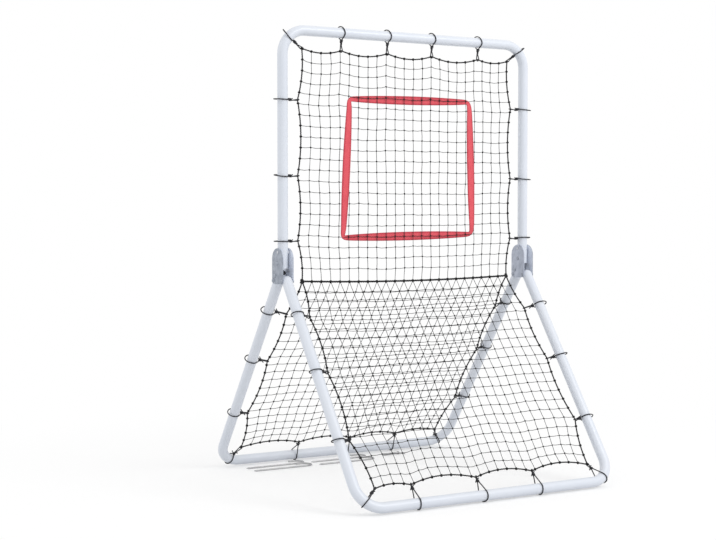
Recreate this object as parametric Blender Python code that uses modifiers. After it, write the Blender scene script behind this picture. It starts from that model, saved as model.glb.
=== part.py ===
"""Rebound net for ball practice: a tube frame that tilts on two side brackets, a folding pair of lower
frames, three knotted nets laced to them, and the loose ground stakes and locking pin of the set.
Metres, +Z up, origin on the floor at the middle of the footprint, the pitching side towards -Y."""

import math

import bmesh
import bpy
from mathutils import Matrix, Vector

# Driving dimensions of the frames
TUBE_R = 0.0127
HALF_WIDTH = 0.362
BEND_R = 0.060
BEND_STEPS = 6
TOP_BAR_Z = 1.1173
FOOT_Y = 0.368
LEG_MEET_Z = 0.541
POST_END_Z = 0.541
REAR_LEG_END = 0.012
FRONT_LEG_END = 0.0369
END_BORE_R = 0.0113
END_BORE_DEPTH = 0.005

# Tie cords: a square section loop round the tube and round the net's border
TIE_HALF = 0.0013
TIE_INNER = 0.0130
TIE_EYE_R = 0.0047
CORNER_EYE_R = 0.0078
BEND_SLACK = 0.0005
UPPER_SLACK = 0.0045
CORNER_STEPS = {
    ("left", "upper"): 3,
    ("right", "upper"): 3,
    ("left", "front"): 3,
    ("right", "front"): 4,
    ("left", "rear"): 4,
    ("right", "rear"): 4,
}
OCTANT = math.radians(22.5)
TIE_CORNER_R = (TIE_INNER + TIE_HALF) / math.cos(OCTANT)
BAR_Z = (TIE_CORNER_R + TIE_HALF) * math.cos(OCTANT)

# The lower frames lean at this angle from the vertical
LEG_ANGLE = math.atan2(FOOT_Y, LEG_MEET_Z - BAR_Z)
LEG_LENGTH = math.hypot(FOOT_Y, LEG_MEET_Z - BAR_Z)

# Side brackets and their fasteners
PLATE_T = 0.0025
PLATE_GAP = 0.026
PLATE_HALF_Y = 0.027
PLATE_BOTTOM_Z = 0.503
PLATE_TOP_Z = 0.590
PLATE_CORNER_R = 0.010
TILT_AXIS_Z = 0.553
LOCK_HOLE_Z = 0.580
LOCK_HOLE_R = 0.0045
SECOND_RIVET = 0.022
HOLE_R = 0.0035
HOLE_SIDES = 10
SHANK_R = 0.0030
FIT = 0.0003

# Nets: s runs along a panel, from the junction rope to the far bar
JUNCTION_Z = 0.508
JUNCTION_HALF = 0.309
JUNCTION_SAG = 0.006
JUNCTION_ROPE_R = 0.0033
NET_FOOT_Y = 0.338
NET_FOOT_Z = 0.0535
NET_START = 0.0055
NET_TOP_Z = 1.074
STRAND = 0.0018
BORDER_R = 0.0022
SIDE_BOW = 0.05
FAR_BOW = 0.08
COLUMNS = 12
UPPER_ROWS = 13
REAR_ROWS = 12
FRONT_ROWS = 9
HEAD_ROWS = 2
HEAD_START = 0.001
HEAD_EDGE = 0.055
HEAD_MIDDLE = 0.122
HEAD_GAP = 0.003

# Strike zone band, on the upper net
ZONE_CORNERS = ((-0.195, 0.613), (0.195, 0.619), (0.185, 0.962), (-0.176, 0.957))
ZONE_CORNER_W = 0.013
ZONE_MIDDLE_W = 0.022
ZONE_T = 0.0010
ZONE_Y = 0.0018

# Loose stakes and locking pin, laid on the floor just inside the rear bar
STAKE_R = 0.0022
STAKE_LENGTH = 0.182
STAKE_HOOK_R = 0.0185
STAKE_RETURN = 0.015
STAKE_POINT = 0.008
STAKE_PLACES = ((-0.310, 0.262), (-0.115, 0.262), (-0.310, 0.306), (-0.115, 0.306))
PIN_R = 0.0032
PIN_LENGTH = 0.0535
PIN_HEAD_R = 0.0043
PIN_HEAD_LENGTH = 0.006
PIN_PLACE = (0.110, 0.300)
PIN_HOLE_R = 0.0017
RING_R = 0.0110
RING_WIRE_R = 0.0008

COLOURS = {
    "white_paint": ((0.76, 0.80, 0.86), 0.35, 0.0),
    "bracket_paint": ((0.30, 0.34, 0.40), 0.45, 0.2),
    "stake_steel": ((0.40, 0.40, 0.41), 0.35, 1.0),
    "net_twine": ((0.012, 0.012, 0.013), 0.85, 0.0),
    "tie_cord": ((0.015, 0.015, 0.016), 0.80, 0.0),
    "zone_fabric": ((0.72, 0.07, 0.11), 0.85, 0.0),
}


def clear_scene():
    for thing in list(bpy.data.objects):
        bpy.data.objects.remove(thing)


def new_collection(name):
    made = bpy.data.collections.new(name)
    bpy.context.scene.collection.children.link(made)
    return made


def finish(slot):
    found = bpy.data.materials.get(slot)
    if found:
        return found
    colour, roughness, metallic = COLOURS[slot]
    made = bpy.data.materials.new(slot)
    made.use_nodes = True
    shader = made.node_tree.nodes["Principled BSDF"]
    shader.inputs["Base Color"].default_value = (*colour, 1.0)
    shader.inputs["Roughness"].default_value = roughness
    shader.inputs["Metallic"].default_value = metallic
    return made


def place(name, data, slot, parent=None):
    """Makes the data one named piece of the assembly, riding on a parent empty if it moves."""
    piece = bpy.data.objects.new(name, data)
    data.materials.clear()
    data.materials.append(finish(slot))
    PARTS.objects.link(piece)
    if parent:
        piece.parent = parent
        piece.matrix_parent_inverse = parent.matrix_world.inverted()
    return piece


def guide(name, data):
    helper = bpy.data.objects.new(name, data)
    helper.hide_render = True
    helper.display_type = "WIRE"
    CUTTERS.objects.link(helper)
    return helper


def axis_empty(name, where):
    empty = bpy.data.objects.new(name, None)
    empty.empty_display_size = 0.05
    empty.location = where
    PARTS.objects.link(empty)
    bpy.context.view_layer.update()
    return empty


def cord_curve(name, points, radius, resolution, closed=False, swell=None, tilt=0.0):
    """A round or square cord along hand-placed or computed points."""
    curve = bpy.data.curves.new(name, "CURVE")
    curve.dimensions = "3D"
    curve.bevel_depth = radius
    curve.bevel_resolution = resolution
    curve.use_fill_caps = True
    spline = curve.splines.new("POLY")
    spline.points.add(len(points) - 1)
    for index, (knot, where) in enumerate(zip(spline.points, points)):
        knot.co = (*where, 1.0)
        knot.radius = swell[index] if swell else 1.0
        knot.tilt = tilt
    spline.use_cyclic_u = closed
    spline.use_smooth = resolution > 0
    return curve


def as_mesh(curve, name):
    """The curve's tube as a mesh with its end caps welded on."""
    holder = bpy.data.objects.new(name, curve)
    bpy.context.scene.collection.objects.link(holder)
    graph = bpy.context.evaluated_depsgraph_get()
    mesh = bpy.data.meshes.new_from_object(holder.evaluated_get(graph))
    bpy.data.objects.remove(holder)
    mesh.name = name
    shape = bmesh.new()
    shape.from_mesh(mesh)
    bmesh.ops.remove_doubles(shape, verts=shape.verts, dist=0.00001)
    bmesh.ops.recalc_face_normals(shape, faces=shape.faces)
    shape.to_mesh(mesh)
    shape.free()
    return mesh


def smooth(piece, degrees=40.0):
    piece.data.shade_smooth()
    piece.data.set_sharp_from_angle(angle=math.radians(degrees))


def rod_mesh(name, radius, length, matrix, sides=HOLE_SIDES):
    """A plain round bar along its own Z, moved by the matrix: the shape of every drilled hole."""
    shape = bmesh.new()
    bmesh.ops.create_cone(
        shape, cap_ends=True, segments=sides, radius1=radius, radius2=radius, depth=length, matrix=matrix
    )
    mesh = bpy.data.meshes.new(name)
    shape.to_mesh(mesh)
    shape.free()
    return mesh


def combine(piece, helper, operation):
    step = piece.modifiers.new(operation.title(), "BOOLEAN")
    step.operation = operation
    step.object = helper
    step.solver = "EXACT"


def drill_across(piece, y, z):
    """A bolt hole along X through both sides of the piece."""
    lie = Matrix.Translation((0.0, y, z)) @ Matrix.Rotation(math.pi / 2, 4, "Y")
    cutter = guide(f"{piece.name}_hole", rod_mesh("hole", HOLE_R, 1.0, lie))
    combine(piece, cutter, "DIFFERENCE")


def upright(x, s):
    """A point of the upper frame's plane, s up from the height where the legs meet."""
    return Vector((x, 0.0, LEG_MEET_Z + s))


def leaning(side):
    """The plane of a lower frame: side -1 leans to the front, +1 to the rear."""

    def point(x, s):
        return Vector((x, side * math.sin(LEG_ANGLE) * s, LEG_MEET_Z - math.cos(LEG_ANGLE) * s))

    return point


def bent_line(plane, end, bar):
    """The centre line of a U of tube: two legs from s = end, bent at BEND_R into a bar at s = bar."""
    centre = (HALF_WIDTH - BEND_R, bar - BEND_R)
    right = [(HALF_WIDTH, end)]
    for step in range(BEND_STEPS + 1):
        angle = math.pi / 2 * step / BEND_STEPS
        right.append((centre[0] + BEND_R * math.cos(angle), centre[1] + BEND_R * math.sin(angle)))
    left = [(-x, s) for x, s in reversed(right)]
    return [plane(x, s) for x, s in right + left]


def bent_tube(name, frame):
    return as_mesh(cord_curve(name, LINES[frame], TUBE_R, 4), name)


def bore_end(piece, plane, end):
    """The open mouth of the tube at both leg ends."""
    for side in (-1, 1):
        mouth = plane(side * HALF_WIDTH, end)
        along = (plane(side * HALF_WIDTH, end + 1.0) - mouth).normalized()
        lie = Matrix.Translation(mouth) @ Vector((0, 0, 1)).rotation_difference(along).to_matrix().to_4x4()
        cutter = guide(f"{piece.name}_mouth", rod_mesh("mouth", END_BORE_R, 2 * END_BORE_DEPTH, lie, 12))
        combine(piece, cutter, "DIFFERENCE")


def domed_tube(name, frame, plane, end):
    """The tube with both leg ends closed to a half ball centred on the fold pivot."""
    points = list(LINES[frame])
    swell = [1.0] * len(points)
    for degrees in (20, 40, 60, 80):
        angle = math.radians(degrees)
        s = end - TUBE_R * math.sin(angle)
        points = [plane(HALF_WIDTH, s), *points, plane(-HALF_WIDTH, s)]
        swell = [math.cos(angle), *swell, math.cos(angle)]
    return as_mesh(cord_curve(name, points, TUBE_R, 4, swell=swell), name)


def make_frames():
    upper = place("upper_frame", bent_tube("upper_frame", "upper"), "white_paint", TILT_AXIS)
    bore_end(upper, upright, POST_END_Z - LEG_MEET_Z)
    for z in (TILT_AXIS_Z, LOCK_HOLE_Z):
        drill_across(upper, 0.0, z)
    front_plane = leaning(-1)
    front_mesh = domed_tube("front_frame", "front", front_plane, FRONT_LEG_END)
    front = place("front_frame", front_mesh, "white_paint", FOLD_AXIS)
    drill_across(front, FOLD_POINT.y, FOLD_POINT.z)
    rear_plane = leaning(1)
    rear = place("rear_frame", bent_tube("rear_frame", "rear"), "white_paint")
    bore_end(rear, rear_plane, REAR_LEG_END)
    for s in (SECOND_RIVET, FRONT_LEG_END):
        spot = rear_plane(0.0, s)
        drill_across(rear, spot.y, spot.z)
    for frame in (upper, front, rear):
        smooth(frame)


def arc(centre, radius, start, stop, steps):
    """Points of an arc in degrees, counted from +X."""
    found = []
    for step in range(steps + 1):
        angle = math.radians(start + (stop - start) * step / steps)
        found.append((centre[0] + radius * math.cos(angle), centre[1] + radius * math.sin(angle)))
    return found


def flat_curve(name, outlines, thickness):
    """A flat outline in the curve's own XY plane, with any inner outlines as holes."""
    curve = bpy.data.curves.new(name, "CURVE")
    curve.dimensions = "2D"
    curve.fill_mode = "BOTH"
    curve.extrude = thickness / 2
    for outline in outlines:
        spline = curve.splines.new("POLY")
        spline.points.add(len(outline) - 1)
        for knot, (x, y) in zip(spline.points, outline):
            knot.co = (x, y, 0.0, 1.0)
        spline.use_cyclic_u = True
    return curve


def make_brackets():
    """Two plates on each side. In a plate's own plane x is the world's Y and y its Z."""
    crown = PLATE_TOP_Z - PLATE_HALF_Y
    low = PLATE_BOTTOM_Z + PLATE_CORNER_R
    inner = PLATE_HALF_Y - PLATE_CORNER_R
    outline = arc((0.0, crown), PLATE_HALF_Y, 0, 180, 12)
    outline += arc((-inner, low), PLATE_CORNER_R, 180, 270, 3)
    outline += arc((inner, low), PLATE_CORNER_R, 270, 360, 3)
    rear_plane = leaning(1)
    spots = [(0.0, TILT_AXIS_Z), (FOLD_POINT.y, FOLD_POINT.z)]
    spots += [(rear_plane(0.0, s).y, rear_plane(0.0, s).z) for s in (SECOND_RIVET, FRONT_LEG_END)]
    holes = [arc(spot, HOLE_R, 360, 36, HOLE_SIDES - 1) for spot in spots]
    holes.append(arc((0.0, LOCK_HOLE_Z), LOCK_HOLE_R, 360, 36, HOLE_SIDES - 1))
    stand = Matrix.Rotation(math.pi / 2, 4, "Z") @ Matrix.Rotation(math.pi / 2, 4, "X")
    for side_name, side in (("left", -1), ("right", 1)):
        for skin, way in (("outer", 1), ("inner", -1)):
            name = f"{side_name}_{skin}_plate"
            plate = place(name, flat_curve(name, [outline, *holes], PLATE_T), "bracket_paint")
            x = side * (HALF_WIDTH + way * (PLATE_GAP + PLATE_T) / 2)
            plate.matrix_world = Matrix.Translation((x, 0.0, 0.0)) @ stand


def turned(name, profile, slot, matrix, steps=10, parent=None):
    """A turned piece: the profile (radius, height) runs down its outer side from the axis to the axis."""
    mesh = bpy.data.meshes.new(name)
    mesh.from_pydata(
        [(radius, 0.0, height) for radius, height in profile],
        [(index, index + 1) for index in range(len(profile) - 1)],
        [],
    )
    piece = place(name, mesh, slot, parent)
    piece.matrix_world = matrix
    spin = piece.modifiers.new("Turn", "SCREW")
    spin.axis = "Z"
    spin.steps = steps
    spin.render_steps = steps
    spin.use_merge_vertices = True
    spin.merge_threshold = 0.00001
    spin.use_smooth_shade = True
    return piece


def outward(side, x, y, z):
    """Own Z along the world's X, pointing away from the net on that side."""
    return Matrix.Translation((side * x, y, z)) @ Matrix.Rotation(side * math.pi / 2, 4, "Y")


def make_rivets():
    """Low-headed rivets through both plates and the tube between them."""
    grip = PLATE_GAP + 2 * PLATE_T + 2 * FIT
    outer_face = HALF_WIDTH + grip / 2
    profile = [(0.0, 0.0026), (0.0030, 0.0022), (0.0048, 0.0012), (0.0055, 0.0)]
    profile += [(SHANK_R, 0.0), (SHANK_R, -grip)]
    profile += [(0.0050, -grip), (0.0040, -grip - 0.0012), (0.0, -grip - 0.0018)]
    rear_plane = leaning(1)
    spots = {
        "tilt_rivet": Vector((0.0, 0.0, TILT_AXIS_Z)),
        "front_pivot_rivet": FOLD_POINT,
        "rear_upper_rivet": rear_plane(0.0, SECOND_RIVET),
        "rear_lower_rivet": rear_plane(0.0, FRONT_LEG_END),
    }
    for side_name, side in (("left", -1), ("right", 1)):
        for name, spot in spots.items():
            turned(f"{side_name}_{name}", profile, "bracket_paint", outward(side, outer_face, spot.y, spot.z))


def bowed(anchors, key, bow=SIDE_BOW):
    """Reach of an edge at a key: it hangs between its ties in shallow bows, drawn in towards the net."""
    if key <= anchors[0][0]:
        return anchors[0][1]
    for (a_key, a_reach), (b_key, b_reach) in zip(anchors, anchors[1:]):
        if key <= b_key:
            share = (key - a_key) / (b_key - a_key)
            straight = a_reach + (b_reach - a_reach) * share
            return straight - bow * (b_key - a_key) * 4 * share * (1 - share)
    return anchors[-1][1]


def junction_point(x):
    """The rope on which the three nets meet, sagging between its two end knots."""
    share = min(1.0, abs(x) / JUNCTION_HALF)
    return Vector((x, 0.0, JUNCTION_Z - JUNCTION_SAG * (1 - share * share)))


class Panel:
    """One net: its edges as tie points, and its surface, straight from the junction rope to the far edge."""

    def __init__(self, plane, left, right, far):
        self.plane = plane
        corner = far[0][1]
        self.left = [(0.0, JUNCTION_HALF), *left, (corner, JUNCTION_HALF)]
        self.right = [(0.0, JUNCTION_HALF), *right, (corner, JUNCTION_HALF)]
        self.far = far
        self.corner = corner

    def reach(self, x):
        return bowed(self.far, x, FAR_BOW)

    def point(self, x, s):
        reach = self.reach(x)
        return junction_point(x).lerp(self.plane(x, reach), s / reach)

    def side_point(self, side, s):
        edge = self.left if side < 0 else self.right
        return self.point(side * bowed(edge, s), s)


def upper_net_plane(x, s):
    """The upright plane of the upper net, s up from the junction rope's end knots."""
    return Vector((x, 0.0, JUNCTION_Z + s))


def lower_net_plane(side):
    """The plane of a lower net, s down from the junction rope's end knots."""

    def point(x, s):
        share = s / LOWER_NET_LENGTH
        return Vector((x, side * NET_FOOT_Y * share, JUNCTION_Z - (JUNCTION_Z - NET_FOOT_Z) * share))

    return point


def pull_out(shape, first, second, where):
    """Gives a boundary strand the corner that a tie pulls out of it."""
    edge = shape.edges.get((first, second))
    _, corner = bmesh.utils.edge_split(edge, first, 0.5)
    corner.co = where
    return corner


def side_run(shape, panel, side, verts, keys):
    """The vertices up one side of a net, with a corner added at each of its ties."""
    edge = panel.left if side < 0 else panel.right
    run = [verts[0]]
    for below, above, low, high in zip(verts, verts[1:], keys, keys[1:]):
        tied = [key for key, _ in edge[1:-1] if low < key < high]
        for key in tied:
            run.append(pull_out(shape, run[-1], above, panel.side_point(side, key)))
        run.append(above)
    return run


def far_run(shape, panel, verts):
    """The vertices along a net's far edge, with a corner added at each tie."""
    run = [verts[0]]
    for nearer, further in zip(verts, verts[1:]):
        low, high = nearer.co.x, further.co.x
        tied = [key for key, _ in panel.far[1:-1] if low < key < high]
        for key in tied:
            run.append(pull_out(shape, run[-1], further, panel.point(key, panel.reach(key))))
        run.append(further)
    return run


def knotted_net(name, panel, rows, start, end, parent=None, closed_foot=True):
    """A square-mesh net from s = start(x) to s = end(x), with its border rope fused round the outside."""
    shape = bmesh.new()
    bmesh.ops.create_grid(shape, x_segments=COLUMNS, y_segments=rows, size=0.5)
    grid = {}
    for vert in shape.verts:
        grid[round((vert.co.x + 0.5) * COLUMNS), round((vert.co.y + 0.5) * rows)] = vert
    first, last = start(JUNCTION_HALF), end(JUNCTION_HALF)
    keys = [first + (last - first) * row / rows for row in range(rows + 1)]
    for (column, row), vert in grid.items():
        left = bowed(panel.left, keys[row])
        right = bowed(panel.right, keys[row])
        x = -left + (left + right) * column / COLUMNS
        vert.co = panel.point(x, start(x) + (end(x) - start(x)) * row / rows)
    left_side = [grid[0, row] for row in range(rows + 1)]
    right_side = [grid[COLUMNS, row] for row in range(rows + 1)]
    foot = [grid[column, rows] for column in range(COLUMNS + 1)]
    up_left = side_run(shape, panel, -1, left_side, keys)
    up_right = side_run(shape, panel, 1, right_side, keys)
    if closed_foot:
        across = far_run(shape, panel, foot)
        borders = [[vert.co.copy() for vert in up_left + across[1:-1] + up_right[::-1]]]
    else:
        borders = [[vert.co.copy() for vert in run] for run in (up_left, up_right)]
    mesh = bpy.data.meshes.new(name)
    shape.to_mesh(mesh)
    shape.free()
    net = place(name, mesh, "net_twine", parent)
    strands = net.modifiers.new("Strands", "WIREFRAME")
    strands.thickness = STRAND
    strands.use_boundary = True
    strands.use_even_offset = False
    for border in borders:
        rope = as_mesh(cord_curve("border", border, BORDER_R, 1), "border")
        combine(net, guide(f"{name}_border", rope), "UNION")
    return net


def foot_on(line, target):
    """The nearest point of a tube's centre line to a target, and the tube's direction there."""
    best = None
    for first, second in zip(line, line[1:]):
        along = (second - first).normalized()
        reach = min(max((target - first).dot(along), 0.0), (second - first).length)
        foot = first + along * reach
        if best is None or (target - foot).length < (target - best[0]).length:
            best = (foot, along)
    return best


def bend_foot(line, side, step, target):
    """A point of a tube's bend, and the direction across a tie that runs from there to the target."""
    foot = line[1 + step] if side > 0 else line[-2 - step]
    face = (line[1] - line[0]).cross(Vector((1.0, 0.0, 0.0))).normalized()
    return foot, (target - foot).cross(face).normalized()


def tie_curve(name, centre, along, target, flat=None, eye=TIE_EYE_R, slack=0.0):
    """A closed loop of tie cord round a tube and round the net's border. With slack it stands off outside."""
    inward = target - centre
    inward -= along * inward.dot(along)
    first = flat if flat else -inward.normalized()
    second = along.cross(first)
    aim = math.atan2(inward.dot(second), inward.dot(first))

    def around(middle, radius, angle):
        return middle + radius * (math.cos(angle) * first + math.sin(angle) * second)

    corners = []
    for index in range(8):
        turn = (OCTANT + index * 2 * OCTANT - aim) % math.tau
        if math.radians(50) < turn < math.radians(310):
            corners.append(turn)
    eased = centre - inward.normalized() * max(0.0, slack - BEND_SLACK)
    points = [around(eased, TIE_CORNER_R + slack, aim + turn) for turn in sorted(corners)]
    for degrees in (-90, -30, 30, 90):
        points.append(around(centre + inward, eye, aim + math.radians(degrees)))
    return cord_curve(name, points, TIE_HALF * math.sqrt(2), 0, closed=True, tilt=math.pi / 4)


def make_panels():
    top = NET_TOP_Z - JUNCTION_Z
    posts = [(z - JUNCTION_Z, 0.321) for z in (0.607, 0.765, 0.949)]
    upper_far = [(x, top) for x in (-JUNCTION_HALF, -0.198, -0.064, 0.070, 0.214, JUNCTION_HALF)]
    slope = LOWER_NET_LENGTH / (JUNCTION_Z - NET_FOOT_Z)
    leg_ties = [(JUNCTION_Z - z) * slope for z in (0.425, 0.300, 0.155)]
    front_sides = list(zip(leg_ties, (0.323, 0.326, 0.331)))
    rear_sides = list(zip(leg_ties, (0.320, 0.325, 0.328)))
    front_far = [(x, LOWER_NET_LENGTH) for x in (-JUNCTION_HALF, -0.2105, -0.028, 0.137, JUNCTION_HALF)]
    rear_far = [(x, LOWER_NET_LENGTH) for x in (-JUNCTION_HALF, -0.134, 0.028, 0.176, JUNCTION_HALF)]
    return {
        "upper": Panel(upper_net_plane, posts, posts, upper_far),
        "front": Panel(lower_net_plane(-1), front_sides, front_sides, front_far),
        "rear": Panel(lower_net_plane(1), rear_sides, rear_sides, rear_far),
    }


def head_split(x):
    """Where the front net's fixed head ends: deeper at the middle, so that the folding net clears it."""
    share = min(1.0, abs(x) / JUNCTION_HALF)
    return HEAD_MIDDLE + (HEAD_EDGE - HEAD_MIDDLE) * share * share


def junction_rope_mesh():
    """The thick rope between the nets, swollen at its end knots."""
    steps = 16
    points = [junction_point(JUNCTION_HALF * (2 * step / steps - 1)) for step in range(steps + 1)]
    tail = Vector((0.003, 0.0, 0.0))
    points = [points[0] - tail, *points, points[-1] + tail]
    swell = [0.6, 1.15] + [1.0] * (steps - 1) + [1.15, 0.6]
    return as_mesh(cord_curve("junction_rope", points, JUNCTION_ROPE_R, 1, swell=swell), "junction_rope")


def make_nets(panels):
    upper, front, rear = panels["upper"], panels["front"], panels["rear"]
    knotted_net("upper_net", upper, UPPER_ROWS, lambda x: NET_START, upper.reach, TILT_AXIS)
    knotted_net("rear_net", rear, REAR_ROWS, lambda x: NET_START, rear.reach)
    knotted_net("front_net", front, FRONT_ROWS, lambda x: head_split(x) + HEAD_GAP, front.reach, FOLD_AXIS)
    head = knotted_net("junction_rope", front, HEAD_ROWS, lambda x: HEAD_START, head_split, closed_foot=False)
    combine(head, guide("junction_rope_core", junction_rope_mesh()), "UNION")


def make_ties(panels):
    """The separate tie cords: those of the posts and legs count up from the lowest of each side."""
    down = Vector((0.0, 0.0, -1.0))
    upper, front, rear = panels["upper"], panels["front"], panels["rear"]

    def tie(name, frame, target, parent, flat=None):
        centre, along = foot_on(LINES[frame], target)
        slack = UPPER_SLACK if frame == "upper" else 0.0
        place(name, tie_curve(name, centre, along, target, flat, slack=slack), "tie_cord", parent)

    for number, (x, s) in enumerate(upper.far[1:-1], 1):
        tie(f"top_tie_{number}", "upper", upper.point(x, s), TILT_AXIS)
    for side_name, side in (("left", -1), ("right", 1)):
        for frame, panel, parent in (
            ("upper", upper, TILT_AXIS),
            ("front", front, FOLD_AXIS),
            ("rear", rear, None),
        ):
            corner = panel.point(side * JUNCTION_HALF, panel.corner)
            centre, along = bend_foot(LINES[frame], side, CORNER_STEPS[side_name, frame], corner)
            name = f"{side_name}_{frame}_corner_tie"
            slack = UPPER_SLACK if frame == "upper" else BEND_SLACK
            loop = tie_curve(name, centre, along, corner, eye=CORNER_EYE_R, slack=slack)
            place(name, loop, "tie_cord", parent)
            part = "post" if frame == "upper" else f"{frame}_leg"
            edge = panel.left if side < 0 else panel.right
            spots = [panel.side_point(side, s) for s, _ in edge[1:-1]]
            spots.sort(key=lambda spot: spot.z)
            for number, spot in enumerate(spots, 1):
                tie(f"{side_name}_{part}_tie_{number}", frame, spot, parent)
    for frame, panel, parent in (("front", front, FOLD_AXIS), ("rear", rear, None)):
        for number, (x, s) in enumerate(panel.far[1:-1], 1):
            tie(f"{frame}_bar_tie_{number}", frame, panel.point(x, s), parent, down)


def make_strike_zone():
    """The band that marks the strike zone: a ring of cloth, gathered narrow at its four corners."""
    steps = 6
    middle = (ZONE_CORNERS[0][1] + ZONE_CORNERS[2][1]) / 2
    outlines = []
    for way in (1, -1):
        outline = []
        for (ax, az), (bx, bz) in zip(ZONE_CORNERS, ZONE_CORNERS[1:] + ZONE_CORNERS[:1]):
            length = math.hypot(bx - ax, bz - az)
            out = ((bz - az) / length, -(bx - ax) / length)
            for step in range(1, steps):
                share = step / steps
                width = ZONE_CORNER_W + (ZONE_MIDDLE_W - ZONE_CORNER_W) * math.sin(math.pi * share) ** 0.7
                outline.append(
                    (
                        ax + (bx - ax) * share + way * out[0] * width / 2,
                        az + (bz - az) * share + way * out[1] * width / 2,
                    )
                )
            reach = way * ZONE_CORNER_W / 2
            outline.append((bx + math.copysign(1.0, bx) * reach, bz + math.copysign(1.0, bz - middle) * reach))
        outlines.append(outline)
    band = place("strike_zone_band", flat_curve("strike_zone_band", outlines, ZONE_T), "zone_fabric", TILT_AXIS)
    band.matrix_world = Matrix.Translation((0.0, ZONE_Y, 0.0)) @ Matrix.Rotation(math.pi / 2, 4, "X")


def make_stakes():
    for number, (x, y) in enumerate(STAKE_PLACES, 1):
        shaft_end = STAKE_LENGTH - STAKE_HOOK_R - STAKE_R
        points = [(0.0, 0.0), (STAKE_POINT, 0.0), (shaft_end, 0.0)]
        points += arc((shaft_end, STAKE_HOOK_R), STAKE_HOOK_R, -90, 90, 8)[1:]
        points.append((shaft_end - STAKE_RETURN, 2 * STAKE_HOOK_R))
        swell = [0.25] + [1.0] * (len(points) - 1)
        name = f"stake_{number}"
        own = [Vector((px, py, 0.0)) for px, py in points]
        stake = place(name, cord_curve(name, own, STAKE_R, 2, swell=swell), "stake_steel")
        stake.location = (x, y, STAKE_R)


def make_pin():
    """The locking pin with its cross hole, and the ring that hangs in it."""
    x, y = PIN_PLACE
    neck = PIN_LENGTH - PIN_HEAD_LENGTH
    rise = math.asin((PIN_HEAD_R - PIN_R) / neck)
    lie = Matrix.Translation((x, y, PIN_R)) @ Matrix.Rotation(math.pi / 2 - rise, 4, "Y")
    profile = [(0.0, PIN_LENGTH), (PIN_HEAD_R - 0.0008, PIN_LENGTH), (PIN_HEAD_R, PIN_LENGTH - 0.0008)]
    profile += [(PIN_HEAD_R, neck), (PIN_R, neck), (PIN_R, 0.0012), (PIN_R - 0.0010, 0.0), (0.0, 0.0)]
    pin = turned("locking_pin", profile, "stake_steel", lie, 12)
    hole_at = lie @ Vector((0.0, 0.0, PIN_LENGTH - PIN_HEAD_LENGTH / 2))
    across = Matrix.Translation(hole_at) @ Matrix.Rotation(math.pi / 2, 4, "X")
    combine(pin, guide("pin_cross_hole", rod_mesh("cross_hole", PIN_HOLE_R, 0.02, across)), "DIFFERENCE")
    droop = math.asin((hole_at.z - RING_WIRE_R) / (2 * RING_R))
    middle = RING_R - PIN_HEAD_R**2 / (4 * RING_R)
    steps = 20
    points = []
    for step in range(steps):
        angle = math.tau * (step + 0.5) / steps
        out = middle - RING_R * math.cos(angle)
        points.append(Vector((out * math.cos(droop), RING_R * math.sin(angle), -out * math.sin(droop))))
    ring = place("pin_ring", cord_curve("pin_ring", points, RING_WIRE_R, 1, closed=True), "stake_steel")
    ring.location = hole_at


clear_scene()
PARTS = new_collection("rebound_net")
CUTTERS = new_collection("cutters")
LOWER_NET_LENGTH = math.hypot(NET_FOOT_Y, JUNCTION_Z - NET_FOOT_Z)
FOLD_POINT = leaning(-1)(0.0, FRONT_LEG_END)
TILT_AXIS = axis_empty("tilt_axis", (0.0, 0.0, TILT_AXIS_Z))
FOLD_AXIS = axis_empty("fold_axis", FOLD_POINT)
LINES = {
    "upper": bent_line(upright, POST_END_Z - LEG_MEET_Z, TOP_BAR_Z - LEG_MEET_Z),
    "front": bent_line(leaning(-1), FRONT_LEG_END, LEG_LENGTH),
    "rear": bent_line(leaning(1), REAR_LEG_END, LEG_LENGTH),
}
PANELS = make_panels()
make_frames()
make_brackets()
make_rivets()
make_nets(PANELS)
make_ties(PANELS)
make_strike_zone()
make_stakes()
make_pin()
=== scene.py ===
"""Rebound net for ball practice: white tube frames on side brackets, three laced nets of knotted twine, a
strike zone band, and the stakes and locking pin that come with it. Metres, +Z up, thrower towards -Y."""

# %% [markdown]
# # The frame that everything is built around
# The solids of the assembly come first. They already hold every size and every joint, so this lesson only
# puts the real surfaces on them: each new piece follows the same centre lines, rides on the same moving body,
# and takes the place of the plain solid that it improves.

import math
import random
from functools import partial

import bmesh
import bpy
from mathutils import Matrix, Vector, noise


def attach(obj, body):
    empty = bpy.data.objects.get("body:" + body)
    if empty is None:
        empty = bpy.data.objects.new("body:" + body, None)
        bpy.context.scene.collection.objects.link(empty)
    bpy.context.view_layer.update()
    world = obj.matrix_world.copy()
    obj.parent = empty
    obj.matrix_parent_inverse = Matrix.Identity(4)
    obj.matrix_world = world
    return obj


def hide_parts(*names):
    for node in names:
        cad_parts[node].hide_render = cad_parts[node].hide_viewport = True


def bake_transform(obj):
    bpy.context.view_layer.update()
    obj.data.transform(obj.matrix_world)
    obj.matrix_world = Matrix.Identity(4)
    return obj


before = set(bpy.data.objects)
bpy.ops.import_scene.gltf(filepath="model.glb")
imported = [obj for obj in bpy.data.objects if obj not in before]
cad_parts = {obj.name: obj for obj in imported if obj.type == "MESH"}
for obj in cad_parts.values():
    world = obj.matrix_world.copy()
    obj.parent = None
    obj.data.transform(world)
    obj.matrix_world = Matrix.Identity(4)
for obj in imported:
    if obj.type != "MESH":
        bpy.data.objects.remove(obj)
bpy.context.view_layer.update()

# %% [markdown]
# ## Camera, light and floor
# The object was photographed from its left front, a little above the middle, with a moderately long lens.
# A camera matched to the long straight tubes of the frame comes before any piece, so each one can be
# compared with the picture as soon as it is made. The light is plain: an even white surround and two large
# soft lamps, so that a paint renders about as bright as it is mixed, and thin black twine stays readable.

# %% Camera
def new_object(name, data):
    made = bpy.data.objects.new(name, data)
    bpy.context.scene.collection.objects.link(made)
    return made


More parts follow.
